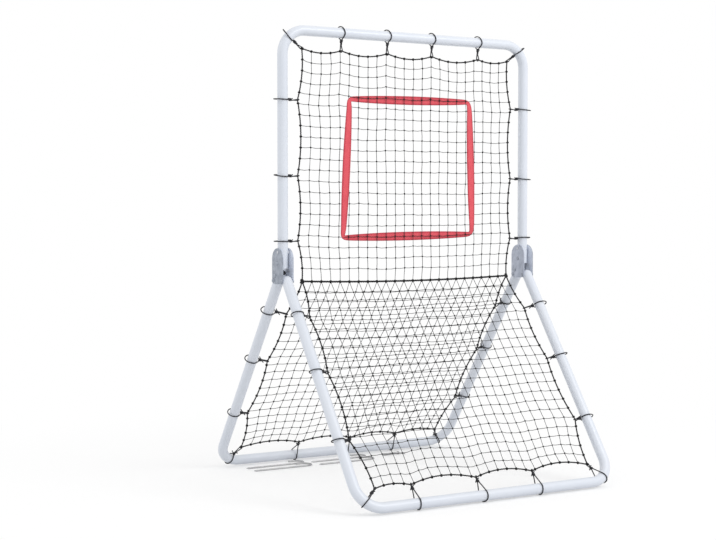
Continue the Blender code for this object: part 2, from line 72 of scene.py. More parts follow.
def aimed(thing, place, direction):
    """Puts a camera or a lamp at a place, facing along a direction."""
    thing.location = place
    thing.rotation_mode = "QUATERNION"
    thing.rotation_quaternion = direction.to_track_quat("-Z", "Y")


CAMERA_PLACE = Vector((-2.0308, -3.1369, 0.6830))
CAMERA_LOOK = Vector((0.5138, 0.8569, -0.0411))
lens = bpy.data.cameras.new("studio_camera")
lens.lens = 73.75
lens.sensor_width = 36.0
lens.clip_end = 50.0
camera = new_object("studio_camera", lens)
aimed(camera, CAMERA_PLACE, CAMERA_LOOK)
bpy.context.scene.camera = camera
print("camera at", tuple(CAMERA_PLACE))

# %% A short way to lay out shader nodes
def new_material(name):
    made = bpy.data.materials.new(name)
    made.use_nodes = True
    return made, made.node_tree, made.node_tree.nodes["Principled BSDF"]


def add_node(tree, kind, values=None, **settings):
    """One node, with its own settings, and its inputs either set or linked from other sockets."""
    node = tree.nodes.new("ShaderNode" + kind)
    for key, value in settings.items():
        setattr(node, key, value)
    for key, value in (values or {}).items():
        if isinstance(value, bpy.types.NodeSocket):
            tree.links.new(value, node.inputs[key])
        else:
            node.inputs[key].default_value = value
    return node


def math_node(tree, operation, first, second=0.0):
    return add_node(tree, "Math", {0: first, 1: second}, operation=operation).outputs[0]


def blend_colour(tree, share, low, high):
    """A colour between two others, by a mask. Each is three numbers or a socket."""
    low, high = ((*colour, 1.0) if isinstance(colour, tuple) else colour for colour in (low, high))
    node = add_node(tree, "Mix", {"Factor": share, "A": low, "B": high}, data_type="RGBA")
    return node.outputs["Result"]


def ramp(tree, value, low, high, **settings):
    """Stretches the part of a value between low and high to the whole of 0 to 1."""
    values = {"Value": value, "From Min": low, "From Max": high}
    return add_node(tree, "MapRange", values, **settings).outputs["Result"]


def between(tree, value, low, high):
    """Takes a value of 0 to 1 to the part between low and high."""
    return add_node(tree, "MapRange", {"Value": value, "To Min": low, "To Max": high}).outputs["Result"]


# %% Light and floor
WORLD_LEVEL = 0.80
WHITE = (1.0, 1.0, 1.0, 1.0)
LAMP_AIM = Vector((0.0, 0.0, 0.5))
LAMP_SIZE = 2.4
LAMPS = (("key_lamp", (1.6, -3.2, 3.4), 68.0), ("fill_lamp", (-3.4, 1.0, 2.6), 16.0))
FLOOR_GREY = 0.76
FLOOR_DROP = 0.0006
FADE_FROM = 0.25
FADE_TO = 1.5
FADE_LEAST = 0.35


def seen_directly(tree):
    """1 for a ray that the camera sees, straight, mirrored or passed on, and 0 for light that bounces."""
    sight = add_node(tree, "LightPath").outputs
    seen = math_node(tree, "MAXIMUM", sight["Is Camera Ray"], sight["Is Glossy Ray"])
    return math_node(tree, "MAXIMUM", seen, sight["Is Transmission Ray"])


world = bpy.data.worlds.new("white_studio")
world.use_nodes = True
bpy.context.scene.world = world
tree = world.node_tree
surround = tree.nodes["Background"]
surround.inputs["Color"].default_value = WHITE
tree.links.new(between(tree, seen_directly(tree), WORLD_LEVEL, 1.0), surround.inputs["Strength"])

for name, place, watts in LAMPS:
    data = bpy.data.lights.new(name, "AREA")
    data.shape = "DISK"
    data.size = LAMP_SIZE
    data.energy = watts
    aimed(new_object(name, data), Vector(place), LAMP_AIM - Vector(place))
    print("lamp", name, watts, "W")


def mesh_from(shape, name):
    """The mesh of a shape that is done."""
    mesh = bpy.data.meshes.new(name)
    shape.to_mesh(mesh)
    shape.free()
    return mesh


floor_shape = bmesh.new()
bmesh.ops.create_grid(floor_shape, x_segments=1, y_segments=1, size=30.0)
floor = new_object("studio_floor", mesh_from(floor_shape, "studio_floor"))
floor.location = (0.0, 0.0, -FLOOR_DROP)
floor_paint, tree, shader = new_material("pale_floor")
seen = seen_directly(tree)
floor_colour = blend_colour(tree, seen, (FLOOR_GREY,) * 3, (1.0, 1.0, 1.0))
tree.links.new(floor_colour, shader.inputs["Base Color"])
shader.inputs["Roughness"].default_value = 0.9
shader.inputs["Specular IOR Level"].default_value = 0.0
reach = add_node(tree, "VectorMath", {0: add_node(tree, "TexCoord").outputs["Object"]}, operation="LENGTH")
far = ramp(tree, reach.outputs["Value"], FADE_FROM, FADE_TO, interpolation_type="SMOOTHSTEP")
white = add_node(tree, "Emission", {"Color": WHITE, "Strength": 1.0})
fade = math_node(tree, "MULTIPLY", seen, between(tree, far, FADE_LEAST, 1.0))
surface = add_node(tree, "MixShader", {0: fade, 1: shader.outputs[0], 2: white.outputs[0]})
tree.links.new(surface.outputs[0], tree.nodes["Material Output"].inputs["Surface"])
floor.data.materials.append(floor_paint)

# %% [markdown]
# ## Shared shader effects
# Two effects come back in several finishes, so each is a node group with its own inputs. The first is the
# unevenness of every handled surface: cloudy tone, fine grain and a little settled dust. The second is the
# twist of yarn: it reads the cord's own map, with metres along it and one turn round it, so that the strands
# wind round every cord at their real lay, whatever way it runs.

# %% Group: handled surface
def group_with(name, inputs, outputs):
    """A node group of plain numbers: its inputs with their first values, and the names of its outputs."""
    group = bpy.data.node_groups.new(name, "ShaderNodeTree")
    for label, value in inputs.items():
        socket = group.interface.new_socket(label, in_out="INPUT", socket_type="NodeSocketFloat")
        socket.default_value = value
    for label in outputs:
        group.interface.new_socket(label, in_out="OUTPUT", socket_type="NodeSocketFloat")
    return group, group.nodes.new("NodeGroupInput").outputs, group.nodes.new("NodeGroupOutput").inputs


handled, given, made = group_with(
    "handled surface", {"Cloud scale": 12.0, "Grain scale": 900.0, "Dust level": 0.3}, ("Cloud", "Grain", "Dust")
)
calc = partial(math_node, handled)
where = add_node(handled, "TexCoord").outputs["Object"]
cloud = add_node(handled, "TexNoise", {"Vector": where, "Scale": given["Cloud scale"], "Detail": 5.0})
grain = add_node(handled, "TexNoise", {"Vector": where, "Scale": given["Grain scale"], "Detail": 2.0})
speck = add_node(handled, "TexVoronoi", {"Vector": where, "Scale": 260.0})
facing = add_node(handled, "SeparateXYZ", {0: add_node(handled, "NewGeometry").outputs["Normal"]}).outputs["Z"]
settled = calc("MULTIPLY", ramp(handled, facing, 0.2, 1.0), given["Dust level"])
spots = calc("MULTIPLY", ramp(handled, speck.outputs["Distance"], 0.22, 0.05), 0.5)
handled.links.new(cloud.outputs["Fac"], made["Cloud"])
handled.links.new(grain.outputs["Fac"], made["Grain"])
handled.links.new(calc("MULTIPLY", settled, calc("ADD", cloud.outputs["Fac"], spots)), made["Dust"])
print("group", handled.name)

# %% Group: twisted yarn
twist, given, made = group_with(
    "twisted yarn", {"Lay": 120.0, "Strands": 3.0, "Fibre": 0.4}, ("Groove shade", "Height", "Fuzz")
)
calc = partial(math_node, twist)
split = add_node(twist, "SeparateXYZ", {0: add_node(twist, "UVMap", uv_map="UVMap").outputs[0]})
along = calc("MULTIPLY", split.outputs["X"], given["Lay"])
round_it = calc("MULTIPLY", split.outputs["Y"], given["Strands"])
half_turns = calc("MULTIPLY", calc("ADD", along, round_it), math.pi)
wave = calc("ABSOLUTE", calc("SINE", half_turns))
where = add_node(twist, "TexCoord").outputs["Object"]
fibres = add_node(twist, "TexNoise", {"Vector": where, "Scale": 2600.0, "Detail": 3.0}).outputs["Fac"]
# Groove shade is a mask for painted shade: the colour is darkened in the grooves between the strands.
twist.links.new(ramp(twist, wave, 0.45, 0.0), made["Groove shade"])
twist.links.new(calc("ADD", wave, calc("MULTIPLY", fibres, given["Fibre"])), made["Height"])
twist.links.new(fibres, made["Fuzz"])
print("group", twist.name)


def placed_group(tree, group, **values):
    node = tree.nodes.new("ShaderNodeGroup")
    node.node_tree = group
    for key, value in values.items():
        node.inputs[key.replace("_", " ")].default_value = value
    return node.outputs


def bump(tree, shader, height, strength, distance):
    made = add_node(tree, "Bump", {"Height": height, "Strength": strength, "Distance": distance})
    tree.links.new(made.outputs["Normal"], shader.inputs["Normal"])


def dress(tree, shader, colour, mask, low, high, **values):
    """Links the colour, lets a mask lead the roughness from low to high, and sets the inputs that are named."""
    tree.links.new(colour, shader.inputs["Base Color"])
    tree.links.new(between(tree, mask, low, high), shader.inputs["Roughness"])
    for key, value in values.items():
        shader.inputs[key.replace("_", " ")].default_value = value


# %% [markdown]
# ## Finishes
# The tubes are powder coated: a hard, cool white film with a faint ripple, called orange peel, and a thin
# gloss. The plates of the brackets are a mottled blue grey. The inner plates carry a lighter copy of it as
# painted light, and the faces towards the posts a paler one still. The hole walls are a near white painted
# highlight. The twine is black and fibrous, so it hardly shines, while the smoother tie cord has a soft
# highlight, and all yarns carry painted shade in the grooves between their strands. The red band is a plain
# weave with a turned and stitched edge.

# %% Painted and bare metal
white_paint, tree, shader = new_material("white_powder_coat")
surface = placed_group(tree, handled, Cloud_scale=9.0, Grain_scale=750.0, Dust_level=0.28)
paint = blend_colour(tree, surface["Cloud"], (0.70, 0.745, 0.83), (0.79, 0.825, 0.89))
paint = blend_colour(tree, surface["Dust"], paint, (0.60, 0.60, 0.58))
dress(tree, shader, paint, surface["Cloud"], 0.30, 0.46, Coat_Weight=0.25, Coat_Roughness=0.18)
bump(tree, shader, surface["Grain"], 0.10, 0.0003)


def plate_paint(name, dark, light):
    """A mottled blue grey, duller where it is darker."""
    made, tree, shader = new_material(name)
    surface = placed_group(tree, handled, Cloud_scale=85.0, Grain_scale=1100.0, Dust_level=0.22)
    mottle = ramp(tree, surface["Cloud"], 0.34, 0.66)
    paint = blend_colour(tree, mottle, dark, light)
    paint = blend_colour(tree, surface["Dust"], paint, (0.55, 0.56, 0.56))
    dress(tree, shader, paint, mottle, 0.55, 0.34, Metallic=0.15)
    bump(tree, shader, surface["Grain"], 0.22, 0.0003)
    return made


outer_paint = plate_paint("outer_plate_grey", (0.29, 0.32, 0.38), (0.40, 0.44, 0.51))
# Painted light: the inner plates take a lighter copy of the grey, making up for the shade between the plates.
inner_lit_paint = plate_paint("inner_plate_painted_light", (0.42, 0.46, 0.55), (0.52, 0.56, 0.66))
# Painted light: the faces that look at the posts are paler still, standing in for light thrown back by the white
# posts.
facing_lit_paint = plate_paint("facing_plate_painted_light", (0.66, 0.70, 0.79), (0.76, 0.80, 0.88))
# Painted highlight: the hole wall is near white, partly bare drilled steel and partly standing in for the lit white
# tube seen through the hole.
hole_wall_highlight = plate_paint("hole_wall_painted_highlight", (0.80, 0.82, 0.86), (0.90, 0.91, 0.94))


def bare_metal(name, dark, light, rough, grain_scale):
    """Steel with a cloudy, slightly oily tone."""
    made, tree, shader = new_material(name)
    surface = placed_group(tree, handled, Cloud_scale=70.0, Grain_scale=grain_scale, Dust_level=0.2)
    tone = blend_colour(tree, surface["Cloud"], dark, light)
    tone = blend_colour(tree, surface["Dust"], tone, (0.42, 0.41, 0.39))
    dress(tree, shader, tone, surface["Grain"], rough - 0.1, rough + 0.1, Metallic=0.85)
    bump(tree, shader, surface["Grain"], 0.15, 0.0002)
    return made


rivet_steel = bare_metal("rivet_steel", (0.27, 0.30, 0.35), (0.40, 0.43, 0.49), 0.42, 900.0)
wire_steel = bare_metal("wire_steel", (0.33, 0.33, 0.34), (0.52, 0.52, 0.53), 0.34, 1300.0)
inside_steel = bare_metal("tube_inside", (0.34, 0.35, 0.38), (0.46, 0.47, 0.50), 0.6, 700.0)
print("metal finishes made")

# %% Yarns
def yarn(name, lay, strands, dark, light, rough, strength, depth, sheen):
    """A black yarn with painted shade in the grooves between its strands. The lay is in turns per metre."""
    made, tree, shader = new_material(name)
    wound = placed_group(tree, twist, Lay=lay, Strands=strands, Fibre=0.5)
    tone = blend_colour(tree, wound["Fuzz"], dark, light)
    # Painted shade: near black in the grooves between the strands.
    tone = blend_colour(tree, wound["Groove shade"], tone, (0.003, 0.003, 0.003))
    dress(
        tree, shader, tone, wound["Fuzz"], rough - 0.12, rough + 0.12,
        Sheen_Weight=sheen, Sheen_Roughness=0.5, Specular_IOR_Level=0.3,
    )
    bump(tree, shader, wound["Height"], strength, depth)
    return made


net_twine = yarn("net_twine", 330.0, 2.0, (0.010, 0.010, 0.011), (0.030, 0.030, 0.033), 0.8, 0.6, 0.0003, 0.15)
border_yarn = yarn("border_yarn", 0.0, 9.0, (0.008, 0.008, 0.009), (0.026, 0.026, 0.029), 0.78, 0.5, 0.0002, 0.15)
tie_yarn = yarn("tie_yarn", 420.0, 4.0, (0.010, 0.010, 0.013), (0.034, 0.034, 0.042), 0.5, 0.5, 0.0002, 0.05)
print("yarn finishes made")

# %% [markdown]
# ## The shape of the object, in a few lines
# All the tubes share one bend radius and one width. A lower frame lies in a plane that leans out from the
# height where the legs meet, so a point of it needs only two numbers: how far across, and how far down.

# %% Sizes and planes
TUBE_R = 0.0127
WALL = 0.0012
HALF_WIDTH = 0.362
BEND_R = 0.060
TOP_BAR_Z = 1.1173
FOOT_Y = 0.368
LEG_MEET_Z = 0.541
POST_END_Z = 0.541
REAR_LEG_END = 0.012
FRONT_LEG_END = 0.0369
LOOP_R = 0.0143
LOOP_CORD_R = 0.0013
BAR_Z = LOOP_R + LOOP_CORD_R * math.cos(math.radians(22.5))
LEG_ANGLE = math.atan2(FOOT_Y, LEG_MEET_Z - BAR_Z)
LEG_LENGTH = math.hypot(FOOT_Y, LEG_MEET_Z - BAR_Z)


def upright(x, s):
    """A point of the upper frame's plane, s up from where the legs meet."""
    return Vector((x, 0.0, LEG_MEET_Z + s))


def leaning(side):
    """The plane of a lower frame, s down its legs: side -1 leans to the front, +1 to the rear."""

    def point(x, s):
        return Vector((x, side * math.sin(LEG_ANGLE) * s, LEG_MEET_Z - math.cos(LEG_ANGLE) * s))

    return point


PLANES = {"upper": upright, "front": leaning(-1), "rear": leaning(1)}
ENDS = {"upper": POST_END_Z - LEG_MEET_Z, "front": FRONT_LEG_END, "rear": REAR_LEG_END}
BARS = {"upper": TOP_BAR_Z - LEG_MEET_Z, "front": LEG_LENGTH, "rear": LEG_LENGTH}
BODIES = {"upper": "upper", "front": "front", "rear": "stand"}
FOLD_POINT = PLANES["front"](0.0, FRONT_LEG_END)
print("legs lean", round(math.degrees(LEG_ANGLE), 2), "degrees")


# %% Turning a mesh into a finished piece
def finished(name, mesh, materials, node, body=None, sharp=35.0):
    """Makes the mesh one piece in place of a node. Its place is in its points, so it stays at the origin."""
    piece = new_object(name, mesh)
    numbers = [face.material_index for face in mesh.polygons]
    mesh.materials.clear()
    for material in materials:
        mesh.materials.append(material)
    mesh.polygons.foreach_set("material_index", numbers)
    mesh.shade_smooth()
    mesh.set_sharp_from_angle(angle=math.radians(sharp))
    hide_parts(node)
    if body:
        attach(piece, body)
    print(name, len(mesh.polygons), "faces")
    return piece


def cleaned(shape, name, gap=0.000005):
    """The shape's mesh, once points that meet are one and all its faces look outwards."""
    bmesh.ops.remove_doubles(shape, verts=shape.verts, dist=gap)
    bmesh.ops.recalc_face_normals(shape, faces=shape.faces)
    return mesh_from(shape, name)


def applied(thing):
    """The mesh of an object with its modifiers and its bevel worked out."""
    bpy.context.view_layer.update()
    return bpy.data.meshes.new_from_object(thing.evaluated_get(bpy.context.evaluated_depsgraph_get()))


# %% [markdown]
# ## The bent tubes
# A bender makes each frame from one straight length: a leg, a bend, a bar, a bend, a leg. The same order of
# work makes the mesh. One ring of points is pulled along the leg, spun round the bend's centre, pulled along
# the bar, and so on. That gives a perfectly round tube with evenly spaced rings in the bends, which a curve
# with a bevel would only come near. The cut ends turn inwards into a thin wall, and the front frame's ends
# are pressed into domes.

# %% Tube by extrude and spin
SIDES = 40
BEND_RINGS = 14
DOME_RINGS = 8
LIP = 0.0003
MOUTH_DEPTH = 0.018


def ring_of(edges):
    return list(dict.fromkeys(vert for edge in edges for vert in edge.verts))


def verts_in(made):
    return [item for item in made if isinstance(item, bmesh.types.BMVert)]


def edges_in(made):
    return [item for item in made if isinstance(item, bmesh.types.BMEdge)]


def pulled(shape, edges, by):
    """Extrudes a ring of edges along a vector and returns the new ring."""
    made = bmesh.ops.extrude_edge_only(shape, edges=edges)["geom"]
    bmesh.ops.translate(shape, vec=by, verts=verts_in(made))
    return edges_in(made)


def shrunk(shape, edges, share):
    verts = ring_of(edges)
    middle = sum((vert.co for vert in verts), Vector()) / len(verts)
    bmesh.ops.scale(shape, vec=(share, share, share), space=Matrix.Translation(-middle), verts=verts)


def spun(shape, edges, steps, angle=math.tau, centre=(0, 0, 0), axis=(0, 0, 1)):
    """Spins a chain of edges about an axis and returns where it ends. A full turn closes on itself."""
    made = bmesh.ops.spin(
        shape, geom=edges + ring_of(edges), cent=centre, axis=axis, dvec=(0, 0, 0), angle=angle,
        steps=steps, use_merge=angle == math.tau, use_normal_flip=False, use_duplicate=False,
    )
    return edges_in(made["geom_last"])


def open_mouth(shape, edges, inwards):
    """The cut end: a thin wall, and the dark inside of the tube a little way in."""
    edges = pulled(shape, edges, -inwards * LIP)
    shrunk(shape, edges, (TUBE_R - LIP) / TUBE_R)
    edges = pulled(shape, edges, Vector())
    shrunk(shape, edges, (TUBE_R - WALL) / (TUBE_R - LIP))
    before = set(shape.faces)
    edges = pulled(shape, edges, inwards * MOUTH_DEPTH)
    bmesh.ops.contextual_create(shape, geom=edges)
    for face in set(shape.faces) - before:
        face.material_index = 1


def dome(shape, edges, outwards):
    radius, height = TUBE_R, 0.0
    for step in range(1, DOME_RINGS):
        angle = math.pi / 2 * step / DOME_RINGS
        edges = pulled(shape, edges, outwards * (TUBE_R * math.sin(angle) - height))
        shrunk(shape, edges, TUBE_R * math.cos(angle) / radius)
        radius, height = TUBE_R * math.cos(angle), TUBE_R * math.sin(angle)
    bmesh.ops.contextual_create(shape, geom=edges)


def bent_tube(name, domed=False):
    plane, end, bar = PLANES[name], ENDS[name], BARS[name]
    start = plane(HALF_WIDTH, end)
    down_tube = (plane(HALF_WIDTH, end + 1.0) - start).normalized()
    across = Vector((-1.0, 0.0, 0.0))
    turn = down_tube.cross(across)
    shape = bmesh.new()
    stand_up = Vector((0, 0, 1)).rotation_difference(down_tube).to_matrix().to_4x4()
    bmesh.ops.create_circle(shape, segments=SIDES, radius=TUBE_R, matrix=Matrix.Translation(start) @ stand_up)
    first = list(shape.edges)
    legs = bar - BEND_R - end
    edges = pulled(shape, first, down_tube * legs)
    edges = spun(shape, edges, BEND_RINGS, math.pi / 2, plane(HALF_WIDTH - BEND_R, bar - BEND_R), turn)
    edges = pulled(shape, edges, across * 2 * (HALF_WIDTH - BEND_R))
    edges = spun(shape, edges, BEND_RINGS, math.pi / 2, plane(BEND_R - HALF_WIDTH, bar - BEND_R), turn)
    last = pulled(shape, edges, -down_tube * legs)
    for edges in (first, last):
        if domed:
            dome(shape, edges, -down_tube)
        else:
            open_mouth(shape, edges, down_tube)
    return cleaned(shape, name + "_tube")


# %% Holes through tubes and plates
TILT_AXIS_Z = 0.553
LOCK_HOLE_Z = 0.580
LOCK_HOLE_R = 0.0045
HOLE_R = 0.0035
LOCK_HOLE = Matrix.Translation((0.0, 0.0, LOCK_HOLE_Z)) @ Matrix.Rotation(math.pi / 2, 4, "Y")


def drilled(mesh, lie, radius, depth=1.0, sides=32):
    """The mesh with a round hole cut through it, along the Z of the matrix that the drill lies on."""
    shape = bmesh.new()
    bmesh.ops.create_cone(
        shape, cap_ends=True, segments=sides, radius1=radius, radius2=radius, depth=depth, matrix=lie
    )
    drill = new_object("drill", cleaned(shape, "drill"))
    blank = new_object("blank", mesh)
    cut = blank.modifiers.new("Cut", "BOOLEAN")
    cut.operation = "DIFFERENCE"
    cut.solver = "EXACT"
    cut.object = drill
    result = applied(blank)
    for thing in (drill, blank):
        bpy.data.objects.remove(thing)
    return result


upper_tube = drilled(bent_tube("upper"), LOCK_HOLE, HOLE_R)
coat = [white_paint, inside_steel]
finished("upper_frame_tube", upper_tube, coat, "upper_frame", body="upper")
finished("front_frame_tube", bent_tube("front", domed=True), coat, "front_frame", body="front")
finished("rear_frame_tube", bent_tube("rear"), coat, "rear_frame", body="stand")

# %% [markdown]
# ## The side brackets
# Each bracket is a pair of plates, punched from 2.5 mm steel, with the three tubes pinned between them. A
# rectangle with its corners rounded by a vertex bevel has exactly the punched outline: a full half circle on
# top and small corners below. Its rim is then broken by a small bevel, because a punched edge is never sharp.

# %% Plates
PLATE_T = 0.0025
PLATE_GAP = 0.026
PLATE_HALF_Y = 0.027
PLATE_BOTTOM_Z = 0.503
PLATE_TOP_Z = 0.590
PLATE_CORNER_R = 0.010
PLATE_RIM = 0.0006
NEAR = 0.0001


def rounded(shape, geom, radius, steps, affect="VERTICES"):
    bmesh.ops.bevel(
        shape, geom=geom, offset=radius, offset_type="OFFSET", segments=steps, profile=0.5, affect=affect, material=-1
    )


def plate_mesh(name, x, facing):
    """A plate at x. Its hole's wall has material 1, a painted highlight, and the face that looks along facing,
    towards the post, has material 2, painted light.
    """
    shape = bmesh.new()
    middle = Vector((x, 0.0, (PLATE_BOTTOM_Z + PLATE_TOP_Z) / 2))
    face_x = Matrix.Rotation(math.pi / 2, 4, "Z") @ Matrix.Rotation(math.pi / 2, 4, "X")
    size = Matrix.Diagonal((2 * PLATE_HALF_Y, PLATE_TOP_Z - PLATE_BOTTOM_Z, 1.0, 1.0))
    lie = Matrix.Translation(middle) @ face_x @ size
    bmesh.ops.create_grid(shape, x_segments=1, y_segments=1, size=0.5, matrix=lie)
    rounded(shape, [vert for vert in shape.verts if vert.co.z > middle.z], PLATE_HALF_Y - NEAR / 2, 14)
    rounded(shape, [vert for vert in shape.verts if vert.co.z < PLATE_BOTTOM_Z + NEAR], PLATE_CORNER_R, 6)
    made = bmesh.ops.extrude_face_region(shape, geom=list(shape.faces))["geom"]
    bmesh.ops.translate(shape, vec=(PLATE_T, 0, 0), verts=verts_in(made))
    bmesh.ops.translate(shape, vec=(-PLATE_T / 2, 0, 0), verts=shape.verts)
    rim = [edge for edge in shape.edges if abs(edge.verts[0].co.x - edge.verts[1].co.x) < PLATE_T / 2]
    rounded(shape, rim, PLATE_RIM, 2, affect="EDGES")
    mesh = drilled(cleaned(shape, name), LOCK_HOLE, LOCK_HOLE_R)
    for face in mesh.polygons:
        from_hole = Vector((face.center.y, face.center.z - LOCK_HOLE_Z)).length
        if from_hole < LOCK_HOLE_R + 2 * NEAR and abs(face.normal.x) < 0.5:
            face.material_index = 1
        elif face.normal.x * facing > 0.9:
            face.material_index = 2
    return mesh


for side_name, side in (("left", -1), ("right", 1)):
    for skin, way, paint in (("outer", 1, outer_paint), ("inner", -1, inner_lit_paint)):
        place = side * (HALF_WIDTH + way * (PLATE_GAP + PLATE_T) / 2)
        name = f"{side_name}_{skin}_plate"
        plate = plate_mesh(name, place, -side * way)
        paints = [paint, hole_wall_highlight, facing_lit_paint]
        finished(f"{name}_pressed", plate, paints, name, body="stand")

# %% [markdown]
# ## Rivets
# Four rivets hold each bracket. A rivet is round about its axis, so its profile is drawn once and spun: a low
# dome outside, the shank through both plates, and the spread tail inside.

# %% Rivets by spin
SHANK_R = 0.0030
FIT = 0.0003
SECOND_RIVET = 0.022
TURNED_SIDES = 32


def turned_mesh(name, profile, matrix):
    """A profile of (radius, height), from the axis to the axis, spun into a closed piece."""
    shape = bmesh.new()
    verts = [shape.verts.new((radius, 0.0, height)) for radius, height in profile]
    spun(shape, [shape.edges.new(pair) for pair in zip(verts, verts[1:])], TURNED_SIDES)
    bmesh.ops.transform(shape, matrix=matrix, verts=shape.verts)
    return cleaned(shape, name)


grip = PLATE_GAP + 2 * PLATE_T + 2 * FIT
profile = [(0.0, 0.0026), (0.0015, 0.0025), (0.0030, 0.0021), (0.0042, 0.0015), (0.0050, 0.0008), (0.0054, 0.0)]
profile += [(SHANK_R, 0.0), (SHANK_R, -grip), (0.0050, -grip), (0.0047, -grip - 0.0008)]
profile += [(0.0036, -grip - 0.0014), (0.0018, -grip - 0.0017), (0.0, -grip - 0.0018)]
rivet_spots = {
    "tilt_rivet": Vector((0.0, 0.0, TILT_AXIS_Z)),
    "front_pivot_rivet": FOLD_POINT,
    "rear_upper_rivet": PLANES["rear"](0.0, SECOND_RIVET),
    "rear_lower_rivet": PLANES["rear"](0.0, FRONT_LEG_END),
}
for side_name, side in (("left", -1), ("right", 1)):
    for name, spot in rivet_spots.items():
        place = Matrix.Translation((side * (HALF_WIDTH + grip / 2), spot.y, spot.z))
        place = place @ Matrix.Rotation(side * math.pi / 2, 4, "Y")
        node = f"{side_name}_{name}"
        finished(
            f"{node}_turned", turned_mesh(node, profile, place), [rivet_steel], node, body="stand"
        )

# %% [markdown]
# ## Where the nets hang
# The three nets meet on one thick rope, which sags between its end knots. From there each net runs straight
# to its bar. Its border hangs from the ties in shallow bows, drawn in towards the net, and this edge is what
# gives a laced net its look. The table of tie places below is the lacing plan.

# %% Panels
JUNCTION_Z = 0.508
JUNCTION_HALF = 0.309
JUNCTION_SAG = 0.006
NET_FOOT_Y = 0.338
NET_FOOT_Z = 0.0535
NET_TOP_Z = 1.074
NET_START = 0.0055
SIDE_BOW = 0.05
FAR_BOW = 0.08
LOWER_LENGTH = math.hypot(NET_FOOT_Y, JUNCTION_Z - NET_FOOT_Z)


def bowed(anchors, key, bow=SIDE_BOW):
    """How far out the border is, between two ties: it bows in by a small share of their spacing."""
    for (a_key, a_reach), (b_key, b_reach) in zip(anchors, anchors[1:]):
        if key <= b_key:
            share = max(0.0, (key - a_key) / (b_key - a_key))
            return a_reach + (b_reach - a_reach) * share - bow * (b_key - a_key) * 4 * share * (1 - share)
    return anchors[-1][1]


def junction_point(x):
    share = min(1.0, abs(x) / JUNCTION_HALF)
    return Vector((x, 0.0, JUNCTION_Z - JUNCTION_SAG * (1 - share * share)))


class Panel:
    """One net: its tie places along the sides and the far edge, and the surface between them."""

    def __init__(self, way, sides, far, reach):
        self.way = way
        self.length = reach
        self.sides = [(0.0, JUNCTION_HALF), *sides, (reach, JUNCTION_HALF)]
        self.far = [(x, reach) for x in (-JUNCTION_HALF, *far, JUNCTION_HALF)]

    def flat(self, x, s):
        if self.way == 0:
            return Vector((x, 0.0, JUNCTION_Z + s))
        share = s / LOWER_LENGTH
        return Vector((x, self.way * NET_FOOT_Y * share, JUNCTION_Z - (JUNCTION_Z - NET_FOOT_Z) * share))

    def reach(self, x):
        return bowed(self.far, x, FAR_BOW)

    def point(self, x, s):
        reach = self.reach(x)
        return junction_point(x).lerp(self.flat(x, reach), s / reach)

    def edge(self, side, s):
        return self.point(side * bowed(self.sides, s), s)


slope = LOWER_LENGTH / (JUNCTION_Z - NET_FOOT_Z)
leg_keys = [(JUNCTION_Z - z) * slope for z in (0.425, 0.300, 0.155)]
post_ties = [(z - JUNCTION_Z, 0.321) for z in (0.607, 0.765, 0.949)]
front_ties = list(zip(leg_keys, (0.323, 0.326, 0.331)))
rear_ties = list(zip(leg_keys, (0.320, 0.325, 0.328)))
PANELS = {
    "upper": Panel(0, post_ties, (-0.198, -0.064, 0.070, 0.214), NET_TOP_Z - JUNCTION_Z),
    "front": Panel(-1, front_ties, (-0.2105, -0.028, 0.137), LOWER_LENGTH),
    "rear": Panel(1, rear_ties, (-0.134, 0.028, 0.176), LOWER_LENGTH),
}
print("lower nets are", round(LOWER_LENGTH, 4), "m long")

# %% [markdown]
# ## Cords and ropes
# A cord is a curve with a round bevel. A laid rope is the same curve with a section of three lobes, turned a
# little at each point, so that the strands really wind round each other and catch the light. Both leave the
# curve as a mesh whose map has metres along the cord, which the yarn finishes read.

# %% Cord and rope meshes
LOBED_SIDES = 15
LOBE_DEPTH = 0.14


def lobed_section(radius):
    """The cross-section of three laid strands, as a closed curve."""
    section = bpy.data.curves.new("section", "CURVE")
    section.dimensions = "2D"
    spline = section.splines.new("POLY")
    spline.points.add(LOBED_SIDES - 1)
    for step, knot in enumerate(spline.points):
        angle = math.tau * step / LOBED_SIDES
        out = radius * (1 - LOBE_DEPTH + LOBE_DEPTH * math.cos(3 * angle))
        knot.co = (out * math.cos(angle), out * math.sin(angle), 0.0, 1.0)
    spline.use_cyclic_u = True
    return bpy.data.objects.new("section", section)


def path_length(points, closed=False):
    chain = [*points, points[0]] if closed else points
    return sum((second - first).length for first, second in zip(chain, chain[1:]))


def evenly(points, spacing):
    """The same line with points at an even spacing."""
    total = path_length(points)
    count = max(2, round(total / spacing))
    found, walked, index = [points[0]], 0.0, 0
    for step in range(1, count):
        target = total * step / count
        while walked + (points[index + 1] - points[index]).length < target:
            walked += (points[index + 1] - points[index]).length
            index += 1
        leg = points[index + 1] - points[index]
        found.append(points[index] + leg * ((target - walked) / leg.length))
    return found + [points[-1]]


